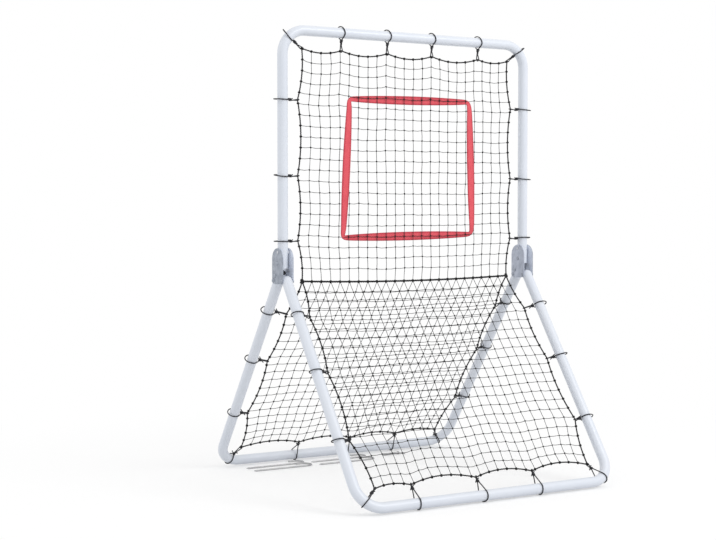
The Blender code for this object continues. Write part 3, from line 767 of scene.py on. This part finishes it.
def cord_mesh(name, lines, radius, resolution=2, closed=False, lay=None, swell=None):
    """One mesh of all the lines: round cords, or laid ropes when a lay length is given."""
    curve = bpy.data.curves.new(name, "CURVE")
    curve.dimensions = "3D"
    curve.use_fill_caps = True
    curve.bevel_depth = radius
    curve.bevel_resolution = resolution
    section = None
    if lay:
        section = lobed_section(radius)
        curve.bevel_mode = "OBJECT"
        curve.bevel_object = section
    for points in lines:
        spline = curve.splines.new("POLY")
        spline.points.add(len(points) - 1)
        walked = 0.0
        for index, (knot, point) in enumerate(zip(spline.points, points)):
            knot.co = (*point, 1.0)
            if index:
                walked += (point - points[index - 1]).length
            knot.tilt = math.tau * walked / lay if lay else 0.0
            knot.radius = swell[index] if swell else 1.0
        spline.use_cyclic_u = closed
        spline.use_smooth = True
    holder = new_object(name, curve)
    mesh = applied(holder)
    bpy.data.objects.remove(holder)
    if section:
        bpy.data.objects.remove(section)
    longest = max(path_length(points, closed) for points in lines)
    for mark in mesh.uv_layers[0].data:
        mark.uv.x *= longest
    shape = bmesh.new()
    shape.from_mesh(mesh)
    bpy.data.meshes.remove(mesh)
    return cleaned(shape, name, 0.00001)


def joined(name, meshes):
    """Several meshes as one, each keeping its own material number and map."""
    shape = bmesh.new()
    for number, mesh in meshes:
        before = len(shape.faces)
        shape.from_mesh(mesh)
        shape.faces.ensure_lookup_table()
        for face in shape.faces[before:]:
            face.material_index = number
        bpy.data.meshes.remove(mesh)
    return mesh_from(shape, name)


# %% [markdown]
# ## Knots
# At each crossing of a knotted net one twine is wrapped round the other. Close up that is a small lump, set
# across the corner of the mesh. A fat ring round the crossing, tilted by 45 degrees, gives that lump with the
# two twines running into it, and it costs only 35 faces, which matters with 1,500 of them.

# %% One knot, placed many times
KNOT_R = 0.0014
KNOT_CORD = 0.0010


def knot_mesh():
    """A fat ring round its own Z, made by spinning a small pentagon."""
    shape = bmesh.new()
    lie = Matrix.Translation((KNOT_R, 0, 0)) @ Matrix.Rotation(math.pi / 2, 4, "X")
    bmesh.ops.create_circle(shape, segments=5, radius=KNOT_CORD, matrix=lie)
    spun(shape, list(shape.edges), 7)
    return cleaned(shape, "knot")


def knots_mesh(name, places):
    """All the knots of a piece in one mesh. Each place is a point, the ring's axis and a size."""
    pattern = knot_mesh()
    count = len(pattern.vertices)
    shape = bmesh.new()
    shape.loops.layers.uv.new("UVMap")
    for point, axis, size in places:
        shape.from_mesh(pattern)
        shape.verts.ensure_lookup_table()
        turn = Vector((0, 0, 1)).rotation_difference(axis).to_matrix().to_4x4()
        place = Matrix.Translation(point) @ turn @ Matrix.Diagonal((size, size, size * 1.5, 1.0))
        bmesh.ops.transform(shape, matrix=place, verts=shape.verts[-count:])
    bpy.data.meshes.remove(pattern)
    return mesh_from(shape, name)


# %% [markdown]
# ## The nets
# The twines are laid in like weaving: one line for each row and one for each column, over a grid of knots.
# Near its edges the grid follows the bows of the border, and further in it runs straight. A real net never
# hangs as a perfect grid, so the knots stray a little, smoothly and at random, and each stretch of twine sags.
# The border rope runs round three sides, and every row and column is knotted on to it.

# %% Net builder
COLUMNS = 23
ROWS = 21
TWINE_R = 0.00072
TWINE_SAG = 0.0011
BORDER_R = 0.0019
BORDER_LAY = 0.0165
BORDER_STEP = 0.0015
BORDER_KNOT = 1.6
DRIFT = 0.0032
DRIFTS_PER_METRE = 9.0
DRIFT_IN_DEPTH = 0.45
CHANCE = 0.0007
SMOOTH_BELOW = 85.0
random.seed(11)
noise.seed_set(11)


def chance():
    return random.uniform(-1, 1)


def strayed(panel, point, seed):
    """Moves a knot a little along and off the net, by smooth noise and by chance."""
    moved = noise.noise_vector(point * DRIFTS_PER_METRE + Vector((seed, 0, 0))) * DRIFT
    moved += Vector((chance(), chance(), chance())) * CHANCE
    if panel.way == 0:
        moved.y *= DRIFT_IN_DEPTH
    return point + moved


def net_grid(panel, seed):
    """The knots of a net, by column and row. Row 0 lies on the junction rope."""
    grid = {}
    for row in range(ROWS + 1):
        down = row / ROWS
        key = NET_START + (panel.length - NET_START) * down
        bow_in = bowed(panel.sides, key) - JUNCTION_HALF
        for column in range(COLUMNS + 1):
            across = 2 * column / COLUMNS - 1
            x = across * (JUNCTION_HALF + bow_in * across * across)
            pull = panel.reach(x) - panel.length
            point = panel.point(x, key + pull * down**4)
            edge = column in (0, COLUMNS) or row in (0, ROWS)
            grid[column, row] = point if edge else strayed(panel, point, seed)
    return grid


def twine_line(knots, drop):
    """A row or column of twine through its knots, sagging a little between them."""
    line = [knots[0]]
    for first, second in zip(knots, knots[1:]):
        sag = Vector((chance() * 0.0005, chance() * 0.0004, -drop * random.uniform(0.3, 1.3)))
        line += [(first + second) / 2 + sag, second]
    return line


def border_line(panel):
    """The border rope's line: up one side, along the far edge, and down the other."""
    steps = 60
    keys = [NET_START + (panel.length - NET_START) * step / steps for step in range(steps)]
    keys = sorted({*keys, *(key for key, _ in panel.sides[1:-1]), panel.length})
    left = [panel.edge(-1, key) for key in keys]
    right = [panel.edge(1, key) for key in reversed(keys)]
    xs = [JUNCTION_HALF * (2 * step / steps - 1) for step in range(1, steps)]
    xs = sorted({*xs, *(x for x, _ in panel.far[1:-1])})
    far = [panel.point(x, panel.reach(x)) for x in xs]
    return evenly([*left, *far, *right], BORDER_STEP)


def net_mesh(name, panel, seed):
    """The whole net in one mesh, and its grid of knots."""
    grid = net_grid(panel, seed)
    rows = [twine_line([grid[column, row] for column in range(COLUMNS + 1)], TWINE_SAG) for row in range(1, ROWS)]
    columns = [twine_line([grid[column, row] for row in range(ROWS + 1)], 0.0) for column in range(1, COLUMNS)]
    places = []
    for (column, row), point in grid.items():
        if row == 0:
            continue
        across = grid[min(column + 1, COLUMNS), row] - grid[max(column - 1, 0), row]
        down = grid[column, min(row + 1, ROWS)] - grid[column, row - 1]
        if column in (0, COLUMNS):
            places.append((point, down.normalized(), BORDER_KNOT))
        elif row == ROWS:
            places.append((point, across.normalized(), BORDER_KNOT))
        else:
            axis = (across.normalized() + down.normalized() * (1 if (column + row) % 2 else -1)).normalized()
            places.append((point, axis, random.uniform(0.92, 1.12)))
    meshes = [
        (0, cord_mesh(name + "_rows", rows, TWINE_R, 1)),
        (0, cord_mesh(name + "_columns", columns, TWINE_R, 1)),
        (0, knots_mesh(name + "_knots", places)),
        (1, cord_mesh(name + "_border", [border_line(panel)], BORDER_R, lay=BORDER_LAY)),
    ]
    return joined(name, meshes), grid


# %% The three nets
net_yarns = [net_twine, border_yarn]
upper_mesh, upper_grid = net_mesh("upper_net", PANELS["upper"], 3.0)
upper_net = finished("upper_net_laced", upper_mesh, net_yarns, "upper_net", sharp=SMOOTH_BELOW)
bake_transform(upper_net)
rear_mesh, rear_grid = net_mesh("rear_net", PANELS["rear"], 21.0)
finished("rear_net_laced", rear_mesh, net_yarns, "rear_net", body="stand", sharp=SMOOTH_BELOW)
front_mesh, front_grid = net_mesh("front_net", PANELS["front"], 37.0)
front_net = finished("front_net_laced", front_mesh, net_yarns, "front_net", sharp=SMOOTH_BELOW)
PANELS["front"].flat(0, 0.125)
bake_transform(front_net)

# %% [markdown]
# ## The rope where the nets meet
# The thick rope gathers the first row of all three nets. The twines are lashed to it at every mesh, and at
# each end the borders of the nets are tied into one big knot. The knot is a real one: an overhand knot has
# the shape of a trefoil, which a few sines and cosines draw.

# %% Junction rope with its lashings and end knots
JUNCTION_ROPE_R = 0.0027
JUNCTION_LAY = 0.019
JUNCTION_STEP = 0.0018
LASHING = 1.8
END_KNOT = 0.0052
END_KNOT_STEPS = 40
END_KNOT_YAW = 1.1
END_KNOT_ROLL = 0.6
LEAD_STEP = 0.0021


def overhand(centre, axis_turn):
    """The line of an overhand knot, pulled tight."""
    line = []
    for step in range(END_KNOT_STEPS):
        t = math.tau * step / END_KNOT_STEPS
        x = math.sin(t) + 2 * math.sin(2 * t)
        y = math.cos(t) - 2 * math.cos(2 * t)
        line.append(centre + axis_turn @ (Vector((x, y, -1.25 * math.sin(3 * t))) * END_KNOT / 3))
    return line


rope_line = evenly([junction_point(JUNCTION_HALF * (step / 80 - 1)) for step in range(161)], JUNCTION_STEP)
lashings, stitches = [], []
for column in range(1, COLUMNS):
    middle = sum((grid[column, 0] for grid in (upper_grid, rear_grid, front_grid)), Vector()) / 3
    middle = junction_point(middle.x)
    ahead = (junction_point(middle.x + 0.005) - middle).normalized()
    lashings.append((middle, ahead, LASHING))
    for grid in (upper_grid, rear_grid, front_grid):
        stitches.append([middle, grid[column, 0] * 0.5 + middle * 0.5, grid[column, 0]])
parts = [
    (1, cord_mesh("rope", [rope_line], JUNCTION_ROPE_R, lay=JUNCTION_LAY)),
    (0, knots_mesh("lashings", lashings)),
    (0, cord_mesh("stitches", stitches, TWINE_R, 1)),
]
for side in (-1, 1):
    centre = junction_point(side * JUNCTION_HALF)
    turn = Matrix.Rotation(side * END_KNOT_YAW, 3, "Y") @ Matrix.Rotation(END_KNOT_ROLL, 3, "X")
    parts.append((1, cord_mesh("end_knot", [overhand(centre, turn)], BORDER_R, 3, closed=True)))
    for panel in PANELS.values():
        line = evenly([centre, panel.edge(side, NET_START)], LEAD_STEP)
        parts.append((1, cord_mesh("lead", [line], BORDER_R, lay=BORDER_LAY)))
rope_mesh = joined("junction_rope", parts)
finished("junction_rope_laid", rope_mesh, net_yarns, "junction_rope", body="stand", sharp=SMOOTH_BELOW)

# %% [markdown]
# ## The ties
# Each tie is a short length of smooth cord. It goes once round the tube, is whipped into a hard little knot
# on the net's side, goes round the border rope, and ends in two cut tails. Its line is worked out from
# tangents: the cord leaves each circle where a straight pull would leave it.

# %% Where each tie grips
TIE_R = 0.0014
TIE_ROUND = 0.0142
TIE_KNOT = 0.0195
TIE_EYE = 0.0037
CORNER_EYE = 0.0048
TIE_SIDE = 0.0011
WRAP_R = 0.0026
WRAP_TURNS = 3
ANY_LEAN = 0.0025
TOP_LEAN = -0.0048
LEFT_CORNER_LEAN = 0.006
BAR_KNOT_BACK = 0.0095
CORNER_KNOT_BACK = 0.013
EASE = {"top": 0.0015, "post": 0.009, "upper_corner": 0.008, "front_leg": 0.005, "rear_leg": 0.005}
CORNER_DEGREES = {"front": {-1: 45, 1: 60}, "rear": {-1: 60, 1: 60}, "upper": {-1: 45, 1: 45}}


def foot_on(frame_name, side, target):
    """The nearest point on a leg or bar of the frame, and the tube's direction there."""
    plane, end, bar = PLANES[frame_name], ENDS[frame_name], BARS[frame_name]
    if side == 0:
        first, second = plane(-HALF_WIDTH + BEND_R, bar), plane(HALF_WIDTH - BEND_R, bar)
    else:
        first, second = plane(side * HALF_WIDTH, end), plane(side * HALF_WIDTH, bar - BEND_R)
    run = (second - first).normalized()
    return first + run * (target - first).dot(run), run


def bend_foot(frame_name, side, target):
    """A place on a bend, and the direction across a tie that runs from there to the net's corner."""
    plane, bar = PLANES[frame_name], BARS[frame_name]
    angle = math.radians(CORNER_DEGREES[frame_name][side])
    foot = plane(
        side * (HALF_WIDTH - BEND_R + BEND_R * math.cos(angle)), bar - BEND_R + BEND_R * math.sin(angle)
    )
    leg = plane(HALF_WIDTH, 1.0) - plane(HALF_WIDTH, 0.0)
    face = leg.cross(Vector((1.0, 0.0, 0.0))).normalized()
    return foot, (target - foot).cross(face).normalized()


# %% One tie
def tie_mesh(name, centre, run, target, lean, eye, ease, knot_back):
    """Tube loop, whipped knot, border loop and tails, in one mesh. The knot sits by the tube or by the border."""
    inward = target - centre
    inward -= run * inward.dot(run)
    reach = inward.length
    ahead = inward.normalized()
    beside = run.cross(ahead)
    knot_reach = reach - knot_back if knot_back else TIE_KNOT
    knot = centre + ahead * knot_reach

    def off(forward, sideways, along):
        """A point by the knot, measured along the tie, across it, and along the tube."""
        return knot + ahead * forward + beside * sideways + run * along

    def about(middle, radius, angle, shift, ease=0.0):
        forward = math.cos(angle) * (radius + (ease if math.cos(angle) < 0 else 0.0))
        return middle + forward * ahead + radius * math.sin(angle) * beside + run * shift

    tail, wrapped = (0.0065, 0.005) if knot_back else (0.0105, 0.0072)
    line = [off(tail - 0.001, 0.004, 0.003), off(0.0045, 0.0, 0.0012), off(0.0, 0.0, TIE_SIDE)]
    leave = math.acos(TIE_ROUND / knot_reach)
    for step in range(23):
        share = step / 22
        angle = leave + (math.tau - 2 * leave) * share
        shift = TIE_SIDE * (1 - 2 * share) + lean * (math.sin(angle) + 0.7 * max(0.0, -math.cos(angle)))
        line.append(about(centre, TIE_ROUND, angle, shift, ease))
    line.append(off(0.0, 0.0, -TIE_SIDE))
    grip = math.acos(min(0.95, eye / (reach - knot_reach)))
    for step in range(11):
        share = step / 10
        angle = math.pi - grip + (2 * grip - math.tau) * share
        line.append(about(centre + ahead * reach, eye, angle, TIE_SIDE * (2 * share - 1)))
    line += [off(0.0035, 0.0, -0.0022), off(0.0, -0.0042, -0.0030), off(0.0, -tail, -0.002)]
    wraps = []
    for step in range(31):
        share = step / 30
        angle = math.tau * WRAP_TURNS * share
        wraps.append(off(wrapped * (share - 0.5), WRAP_R * math.cos(angle), WRAP_R * math.sin(angle)))
    return joined(name, [(0, cord_mesh("tie_line", [line], TIE_R)), (0, cord_mesh("tie_wraps", [wraps], TIE_R))])


def make_tie(node, frame_name, side, target):
    corner = node.endswith("corner_tie")
    centre, run = (bend_foot if corner else foot_on)(frame_name, side, target)
    ease = max([room for place, room in EASE.items() if place in node], default=0.0) * random.uniform(0.8, 1.1)
    lean = random.uniform(-ANY_LEAN, ANY_LEAN)
    if node.startswith("top"):
        lean = lean * 0.3 + TOP_LEAN
    if node == "left_upper_corner_tie":
        lean = LEFT_CORNER_LEAN
    knot_back = BAR_KNOT_BACK if "_bar_" in node else CORNER_KNOT_BACK if node.endswith("front_corner_tie") else None
    mesh = tie_mesh(node, centre, run, target, lean, CORNER_EYE if corner else TIE_EYE, ease, knot_back)
    finished(f"{node}_cord", mesh, [tie_yarn], node, body=BODIES[frame_name], sharp=60.0)


# %% All the ties
for frame_name, panel in PANELS.items():
    bar_name = "top" if frame_name == "upper" else frame_name + "_bar"
    for number, (x, s) in enumerate(panel.far[1:-1], 1):
        make_tie(f"{bar_name}_tie_{number}", frame_name, 0, panel.point(x, s))
    for side_name, side in (("left", -1), ("right", 1)):
        corner = panel.point(side * JUNCTION_HALF, panel.length)
        make_tie(f"{side_name}_{frame_name}_corner_tie", frame_name, side, corner)
        part = "post" if frame_name == "upper" else frame_name + "_leg"
        spots = sorted((panel.edge(side, s) for s, _ in panel.sides[1:-1]), key=lambda spot: spot.z)
        for number, spot in enumerate(spots, 1):
            make_tie(f"{side_name}_{part}_tie_{number}", frame_name, side, spot)

# %% [markdown]
# ## The strike zone band
# The red band is a ring of cloth tape laced through the net: it runs behind the twines along the top and the
# bottom, and in front of them along the sides. It is gathered narrow where it passes through at the corners.
# One closed line of edges, pulled inwards four times, makes the tape with its two turned hems, and Solidify
# gives it the thickness of folded cloth.

# %% Band tape
ZONE_CORNERS = ((-0.195, 0.613), (0.195, 0.619), (0.185, 0.962), (-0.176, 0.957))
ZONE_CORNER_W = 0.011
ZONE_MIDDLE_W = 0.022
ZONE_BEHIND = 0.0028
ZONE_BEFORE = -0.0036
ZONE_STEPS = 60
ZONE_CROSS = 0.020
ZONE_T = 0.0009
CORNER_SQUARE = 0.006
HEM = 0.14
STITCH_LENGTH = 0.0042


def zone_line(share_across):
    """A closed line round the band, share_across from 0 on its outer edge to 1 on its inner edge."""
    line = []
    for number, ((ax, az), (bx, bz)) in enumerate(zip(ZONE_CORNERS, ZONE_CORNERS[1:] + ZONE_CORNERS[:1])):
        length = math.hypot(bx - ax, bz - az)
        out = Vector(((bz - az) / length, -(bx - ax) / length))
        for step in range(ZONE_STEPS):
            share = step / ZONE_STEPS
            width = ZONE_CORNER_W + (ZONE_MIDDLE_W - ZONE_CORNER_W) * math.sin(math.pi * share) ** 0.7
            off = (0.5 - share_across) * width
            x = ax + (bx - ax) * share + out.x * off
            z = az + (bz - az) * share + out.y * off
            near = max(0.0, 1.0 - share * length / CORNER_SQUARE)
            x += out.y * off * near
            z -= out.x * off * near
            wave = noise.noise(Vector((x * 14.0, 3.0, z * 14.0))) * 0.0006
            from_corner = min(share, 1.0 - share) * length
            face = (ZONE_BEFORE if number % 2 else ZONE_BEHIND) * min(1.0, from_corner / ZONE_CROSS) + wave
            line.append(Vector((x, face, z)))
    for _ in range(3):
        line = [
            (line[place - 1] + line[place] * 2 + line[(place + 1) % len(line)]) / 4 for place in range(len(line))
        ]
    return line


band_shape = bmesh.new()
band_map = band_shape.loops.layers.uv.new("UVMap")
outer = zone_line(0.0)
verts = [band_shape.verts.new(point) for point in outer]
edges = [band_shape.edges.new((first, second)) for first, second in zip(verts, verts[1:] + verts[:1])]
marks = {vert: (path_length(outer[: index + 1]), 0.0) for index, vert in enumerate(verts)}
for across in (HEM, 0.5, 1.0 - HEM, 1.0):
    made = bmesh.ops.extrude_edge_only(band_shape, edges=edges)["geom"]
    edges = edges_in(made)
    line = zone_line(across)
    for vert in verts_in(made):
        index = min(range(len(line)), key=lambda place: (line[place] - vert.co).length)
        marks[vert] = (path_length(outer[: index + 1]), across)
        vert.co = line[index]
total = path_length(outer, closed=True)
for face in band_shape.faces:
    wraps_round = max(marks[loop.vert][0] for loop in face.loops) > total * 0.9
    for loop in face.loops:
        u, v = marks[loop.vert]
        loop[band_map].uv = (u + total if wraps_round and u < total * 0.1 else u, v)
bmesh.ops.recalc_face_normals(band_shape, faces=band_shape.faces)
band_mesh = mesh_from(band_shape, "strike_zone_band")
print("band is", round(total, 3), "m long")

# %% Band weave and hems
zone_cloth, tree, shader = new_material("zone_cloth")
calc = partial(math_node, tree)
cloth_map = add_node(tree, "SeparateXYZ", {0: add_node(tree, "UVMap", uv_map="UVMap").outputs[0]})
along, across = cloth_map.outputs["X"], cloth_map.outputs["Y"]
warp = calc("SINE", calc("MULTIPLY", along, math.tau * 1600.0))
weft = calc("SINE", calc("MULTIPLY", across, math.tau * 22.0))
from_middle = calc("ABSOLUTE", calc("SUBTRACT", across, 0.5))
hem = ramp(tree, from_middle, 0.34, 0.38)
stitch_row = calc("LESS_THAN", calc("ABSOLUTE", calc("SUBTRACT", from_middle, 0.33)), 0.022)
dashes = calc("GREATER_THAN", calc("SINE", calc("MULTIPLY", along, math.tau / STITCH_LENGTH)), -0.35)
stitches = calc("MULTIPLY", stitch_row, dashes)
where = add_node(tree, "TexCoord").outputs["Object"]
cloudy = add_node(tree, "TexNoise", {"Vector": where, "Scale": 60.0, "Detail": 4.0}).outputs["Fac"]
red = blend_colour(tree, cloudy, (0.70, 0.066, 0.100), (0.90, 0.13, 0.155))
red = blend_colour(tree, calc("MULTIPLY", hem, 0.65), red, (0.52, 0.028, 0.055))
red = blend_colour(tree, stitches, red, (0.42, 0.018, 0.040))
tree.links.new(red, shader.inputs["Base Color"])
shader.inputs["Roughness"].default_value = 0.82
shader.inputs["Sheen Weight"].default_value = 0.35
shader.inputs["Sheen Roughness"].default_value = 0.4
weave = calc("MULTIPLY", calc("MULTIPLY", warp, weft), 0.35)
bump(tree, shader, calc("ADD", weave, calc("SUBTRACT", hem, stitches)), 0.6, 0.0003)
band = finished(
    "strike_zone_cloth", band_mesh, [zone_cloth], "strike_zone_band", body="upper", sharp=60.0
)
thick = band.modifiers.new("Cloth thickness", "SOLIDIFY")
thick.thickness = ZONE_T
thick.offset = 0.0

# %% [markdown]
# ## Stakes and locking pin
# The four stakes are bent from one thickness of steel wire, so each is one curve: a sharpened tip, a long
# straight shank and a hook that goes over the floor bar. The pin is turned from bar, with a collar head and a
# split ring through its cross hole.

# %% Wire stakes
STAKE_R = 0.0022
STAKE_LENGTH = 0.182
STAKE_HOOK_R = 0.0185
STAKE_RETURN = 0.015
STAKE_PLACES = ((-0.310, 0.262), (-0.115, 0.262), (-0.310, 0.306), (-0.115, 0.306))
shank = STAKE_LENGTH - STAKE_HOOK_R - STAKE_R
for number, (x, y) in enumerate(STAKE_PLACES, 1):
    line = [Vector((0.0003, 0, 0)), Vector((0.003, 0, 0)), Vector((0.008, 0, 0)), Vector((shank, 0, 0))]
    for step in range(1, 21):
        angle = math.pi * step / 20 - math.pi / 2
        line.append(Vector((shank + STAKE_HOOK_R * math.cos(angle), STAKE_HOOK_R * (1 + math.sin(angle)), 0)))
    line.append(Vector((shank - STAKE_RETURN + 0.0006, 2 * STAKE_HOOK_R, 0)))
    line.append(Vector((shank - STAKE_RETURN, 2 * STAKE_HOOK_R, 0)))
    swell = [0.12, 0.5] + [1.0] * (len(line) - 3) + [0.8]
    place = Vector((x, y, STAKE_R))
    wire = cord_mesh(f"stake_{number}", [[point + place for point in line]], STAKE_R, 6, swell=swell)
    finished(f"stake_{number}_wire", wire, [wire_steel], f"stake_{number}", body=f"stake_{number}")

# %% Pin and ring
PIN_PLACE = (0.110, 0.300)
PIN_R = 0.0032
PIN_LENGTH = 0.0535
PIN_HEAD_R = 0.0043
PIN_HEAD_LENGTH = 0.006
PIN_HOLE_R = 0.0017
RING_R = 0.0110
RING_WIRE_R = 0.0008
RING_STEPS = 64
neck = PIN_LENGTH - PIN_HEAD_LENGTH
rise = math.asin((PIN_HEAD_R - PIN_R) / neck)
lie = Matrix.Translation((*PIN_PLACE, PIN_R)) @ Matrix.Rotation(math.pi / 2 - rise, 4, "Y")
profile = [(0.0, PIN_LENGTH), (PIN_HEAD_R - 0.0008, PIN_LENGTH), (PIN_HEAD_R - 0.0002, PIN_LENGTH - 0.0003)]
profile += [(PIN_HEAD_R, PIN_LENGTH - 0.0009), (PIN_HEAD_R, neck + 0.0004), (PIN_HEAD_R - 0.0003, neck)]
profile += [(PIN_R, neck), (PIN_R, 0.0014), (PIN_R - 0.0004, 0.0005), (PIN_R - 0.0012, 0.0), (0.0, 0.0)]
hole_at = lie @ Vector((0.0, 0.0, PIN_LENGTH - PIN_HEAD_LENGTH / 2))
cross_hole = Matrix.Translation(hole_at) @ Matrix.Rotation(math.pi / 2, 4, "X")
pin_mesh = drilled(turned_mesh("locking_pin", profile, lie), cross_hole, PIN_HOLE_R, depth=0.02, sides=24)
finished("locking_pin_turned", pin_mesh, [wire_steel], "locking_pin", body="pin")

droop = math.asin((hole_at.z - RING_WIRE_R) / (2 * RING_R))
middle = RING_R - PIN_HEAD_R**2 / (4 * RING_R)
line = []
for step in range(RING_STEPS):
    angle = math.tau * step / RING_STEPS
    out = middle - RING_R * math.cos(angle)
    line.append(hole_at + Vector((out * math.cos(droop), RING_R * math.sin(angle), -out * math.sin(droop))))
ring = cord_mesh("pin_ring", [line], RING_WIRE_R, 4, closed=True)
finished("pin_ring_wire", ring, [wire_steel], "pin_ring", body="ring")

# %% View settings
bpy.context.scene.view_settings.view_transform = "Standard"
